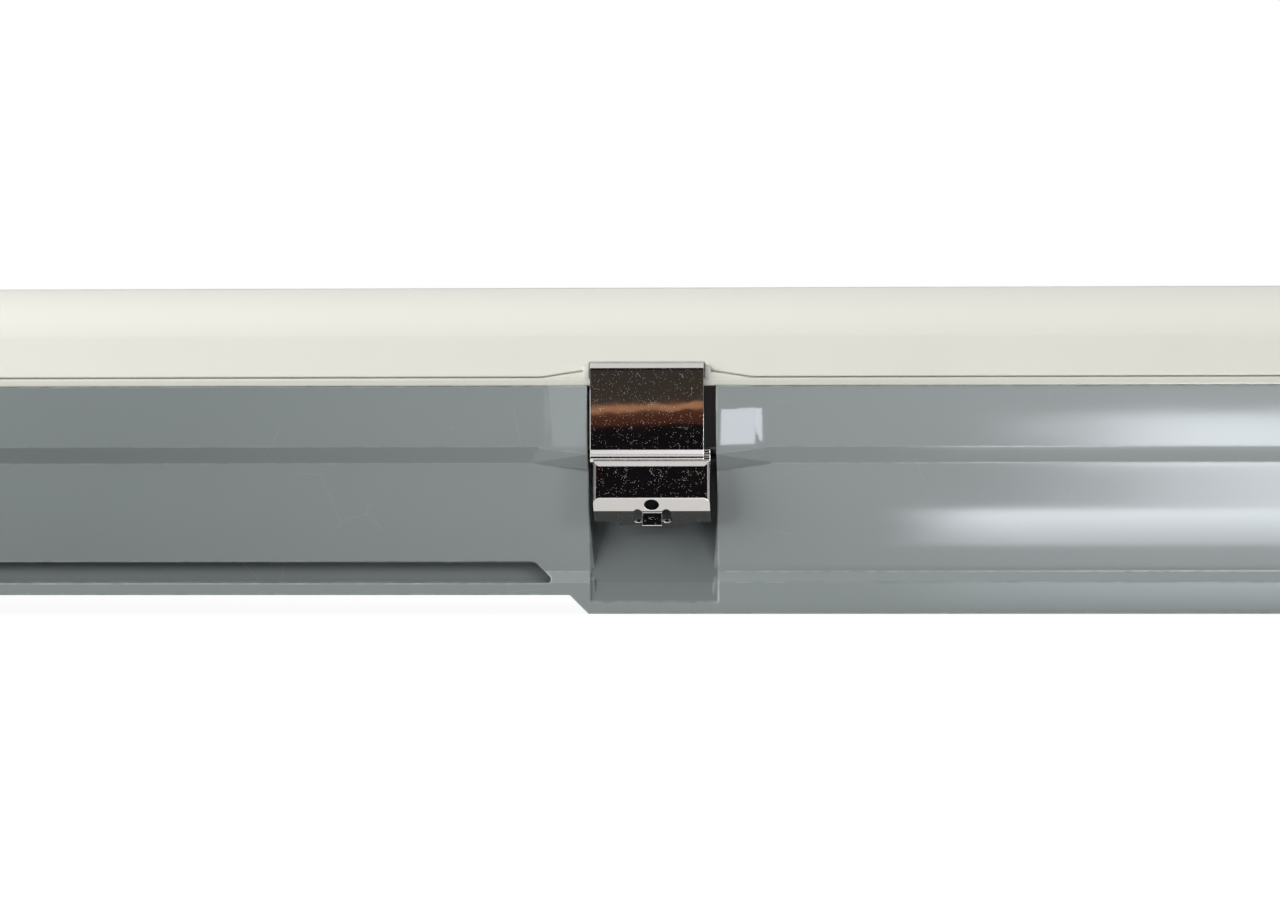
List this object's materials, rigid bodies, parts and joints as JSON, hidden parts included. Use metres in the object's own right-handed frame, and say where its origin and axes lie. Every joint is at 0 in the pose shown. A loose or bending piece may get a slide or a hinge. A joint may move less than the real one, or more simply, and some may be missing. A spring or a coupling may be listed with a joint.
{
  "type": "vapor tight light fixture",
  "caption": "Linear vapor tight light fixture: grey moulded housing, opal diffuser clamped on a gasket by stainless toggle latches, sliding ceiling brackets and a cable gland.",
  "frame": {"origin": "middle of the mounting plane at the back of the housing", "axes": "X along the length with the cable gland at +X, +Z out of the back plane towards the diffuser, -Y the pictured side; the fixture lies on its back as pictured and is turned half a turn about X to hang below a ceiling"},
  "size_m": [1.2205, 0.1272, 0.0868],
  "materials": {
    "housing_grey": "glossy grey moulded polycarbonate",
    "gasket_foam": "foamed polyurethane",
    "opal_diffuser": "opal polycarbonate, satin gloss",
    "stainless": "bright rolled stainless steel",
    "pin_steel": "blackened steel",
    "white_steel": "white powder coat",
    "phosphor": "silicone over phosphor",
    "rivet_alloy": "plain",
    "driver_case": "moulded case",
    "screw_steel": "zinc plated",
    "terminal_nylon": "moulded nylon",
    "tag_brass": "plain",
    "wire_brown": "soft insulation",
    "wire_blue": "soft insulation",
    "wire_green": "soft insulation",
    "wire_red": "soft insulation",
    "wire_black": "soft insulation",
    "seal_rubber": "moulded rubber",
    "gland_nylon": "moulded nylon",
    "board_white": "white solder mask on an alloy board",
    "button_nylon": "moulded nylon"
  },
  "bodies": {
    "fixture": {"housing": "housing_grey", "gasket": "gasket_foam", "diffuser": "opal_diffuser", "latch_pivot_pins": "pin_steel", "gear_tray": "white_steel", "led_chips": "phosphor", "board_rivets": "rivet_alloy", "led_driver": "driver_case", "driver_screws": "screw_steel", "terminal_block": "terminal_nylon", "earth_tag": "tag_brass", "earth_screw": "screw_steel", "live_wire": "wire_brown", "neutral_wire": "wire_blue", "earth_wire": "wire_green", "led_wire_positive": "wire_red", "led_wire_negative": "wire_black", "gland_washer": "seal_rubber", "gland_body": "gland_nylon", "gland_locknut": "gland_nylon", "gland_seal": "seal_rubber", "gland_nut": "gland_nylon", "blanking_ring": "seal_rubber", "blanking_plug": "gland_nylon", "led_board_1": "board_white", "led_board_2": "board_white", "led_board_3": "board_white", "led_board_4": "board_white"},
    "latch_lever_1": {"latch_lever_1": "stainless"},
    "latch_hook_1": {"latch_hook_1": "stainless"},
    "latch_lever_2": {"latch_lever_2": "stainless"},
    "latch_hook_2": {"latch_hook_2": "stainless"},
    "latch_lever_3": {"latch_lever_3": "stainless"},
    "latch_hook_3": {"latch_hook_3": "stainless"},
    "latch_lever_4": {"latch_lever_4": "stainless"},
    "latch_hook_4": {"latch_hook_4": "stainless"},
    "latch_lever_5": {"latch_lever_5": "stainless"},
    "latch_hook_5": {"latch_hook_5": "stainless"},
    "latch_lever_6": {"latch_lever_6": "stainless"},
    "latch_hook_6": {"latch_hook_6": "stainless"},
    "latch_lever_7": {"latch_lever_7": "stainless"},
    "latch_hook_7": {"latch_hook_7": "stainless"},
    "latch_lever_8": {"latch_lever_8": "stainless"},
    "latch_hook_8": {"latch_hook_8": "stainless"},
    "bracket_left": {"bracket_left": "stainless"},
    "bracket_right": {"bracket_right": "stainless"},
    "tray_button_1": {"tray_button_1": "button_nylon"},
    "tray_button_2": {"tray_button_2": "button_nylon"},
    "tray_button_3": {"tray_button_3": "button_nylon"},
    "tray_button_4": {"tray_button_4": "button_nylon"}
  },
  "joints": [
    {"name": "latch_1_lever_swing", "type": "hinge", "parent": "fixture", "child": "latch_lever_1", "pos_m": [-0.16, -0.0542, 0.0411], "axis": [-1, 0, 0], "range_deg": [0, 40]},
    {"name": "latch_1_hook_tilt", "type": "hinge", "parent": "latch_lever_1", "child": "latch_hook_1", "pos_m": [-0.16, -0.06095, 0.0414], "axis": [-1, 0, 0], "range_deg": [-64, 0]},
    {"name": "latch_2_lever_swing", "type": "hinge", "parent": "fixture", "child": "latch_lever_2", "pos_m": [0.16, -0.0542, 0.0411], "axis": [-1, 0, 0], "range_deg": [0, 40]},
    {"name": "latch_2_hook_tilt", "type": "hinge", "parent": "latch_lever_2", "child": "latch_hook_2", "pos_m": [0.16, -0.06095, 0.0414], "axis": [-1, 0, 0], "range_deg": [-64, 0]},
    {"name": "latch_3_lever_swing", "type": "hinge", "parent": "fixture", "child": "latch_lever_3", "pos_m": [-0.48, -0.0542, 0.0411], "axis": [-1, 0, 0], "range_deg": [0, 40]},
    {"name": "latch_3_hook_tilt", "type": "hinge", "parent": "latch_lever_3", "child": "latch_hook_3", "pos_m": [-0.48, -0.06095, 0.0414], "axis": [-1, 0, 0], "range_deg": [-64, 0]},
    {"name": "latch_4_lever_swing", "type": "hinge", "parent": "fixture", "child": "latch_lever_4", "pos_m": [0.48, -0.0542, 0.0411], "axis": [-1, 0, 0], "range_deg": [0, 40]},
    {"name": "latch_4_hook_tilt", "type": "hinge", "parent": "latch_lever_4", "child": "latch_hook_4", "pos_m": [0.48, -0.06095, 0.0414], "axis": [-1, 0, 0], "range_deg": [-64, 0]},
    {"name": "latch_5_lever_swing", "type": "hinge", "parent": "fixture", "child": "latch_lever_5", "pos_m": [-0.16, 0.0542, 0.0411], "axis": [1, 0, 0], "range_deg": [0, 40]},
    {"name": "latch_5_hook_tilt", "type": "hinge", "parent": "latch_lever_5", "child": "latch_hook_5", "pos_m": [-0.16, 0.06095, 0.0414], "axis": [1, 0, 0], "range_deg": [-64, 0]},
    {"name": "latch_6_lever_swing", "type": "hinge", "parent": "fixture", "child": "latch_lever_6", "pos_m": [0.16, 0.0542, 0.0411], "axis": [1, 0, 0], "range_deg": [0, 40]},
    {"name": "latch_6_hook_tilt", "type": "hinge", "parent": "latch_lever_6", "child": "latch_hook_6", "pos_m": [0.16, 0.06095, 0.0414], "axis": [1, 0, 0], "range_deg": [-64, 0]},
    {"name": "latch_7_lever_swing", "type": "hinge", "parent": "fixture", "child": "latch_lever_7", "pos_m": [-0.48, 0.0542, 0.0411], "axis": [1, 0, 0], "range_deg": [0, 40]},
    {"name": "latch_7_hook_tilt", "type": "hinge", "parent": "latch_lever_7", "child": "latch_hook_7", "pos_m": [-0.48, 0.06095, 0.0414], "axis": [1, 0, 0], "range_deg": [-64, 0]},
    {"name": "latch_8_lever_swing", "type": "hinge", "parent": "fixture", "child": "latch_lever_8", "pos_m": [0.48, 0.0542, 0.0411], "axis": [1, 0, 0], "range_deg": [0, 40]},
    {"name": "latch_8_hook_tilt", "type": "hinge", "parent": "latch_lever_8", "child": "latch_hook_8", "pos_m": [0.48, 0.06095, 0.0414], "axis": [1, 0, 0], "range_deg": [-64, 0]},
    {"name": "bracket_left_slide", "type": "slide", "parent": "fixture", "child": "bracket_left", "axis": [1, 0, 0], "range_m": [-0.055, 0.175]},
    {"name": "bracket_right_slide", "type": "slide", "parent": "fixture", "child": "bracket_right", "axis": [1, 0, 0], "range_m": [-0.175, 0.055]},
    {"name": "tray_button_1_turn", "type": "hinge", "parent": "fixture", "child": "tray_button_1", "pos_m": [0.5, -0.031, 0.0508], "axis": [0, 0, 1], "range_deg": [0, 90]},
    {"name": "tray_button_2_turn", "type": "hinge", "parent": "fixture", "child": "tray_button_2", "pos_m": [-0.5, -0.031, 0.0508], "axis": [0, 0, 1], "range_deg": [0, 90]},
    {"name": "tray_button_3_turn", "type": "hinge", "parent": "fixture", "child": "tray_button_3", "pos_m": [0.5, 0.031, 0.0508], "axis": [0, 0, 1], "range_deg": [0, 90]},
    {"name": "tray_button_4_turn", "type": "hinge", "parent": "fixture", "child": "tray_button_4", "pos_m": [-0.5, 0.031, 0.0508], "axis": [0, 0, 1], "range_deg": [0, 90]}
  ],
  "couplings": [
    {"joint": "latch_1_hook_tilt", "follows": "latch_1_lever_swing", "ratio": -1.6},
    {"joint": "latch_2_hook_tilt", "follows": "latch_2_lever_swing", "ratio": -1.6},
    {"joint": "latch_3_hook_tilt", "follows": "latch_3_lever_swing", "ratio": -1.6},
    {"joint": "latch_4_hook_tilt", "follows": "latch_4_lever_swing", "ratio": -1.6},
    {"joint": "latch_5_hook_tilt", "follows": "latch_5_lever_swing", "ratio": -1.6},
    {"joint": "latch_6_hook_tilt", "follows": "latch_6_lever_swing", "ratio": -1.6},
    {"joint": "latch_7_hook_tilt", "follows": "latch_7_lever_swing", "ratio": -1.6},
    {"joint": "latch_8_hook_tilt", "follows": "latch_8_lever_swing", "ratio": -1.6}
  ]
}
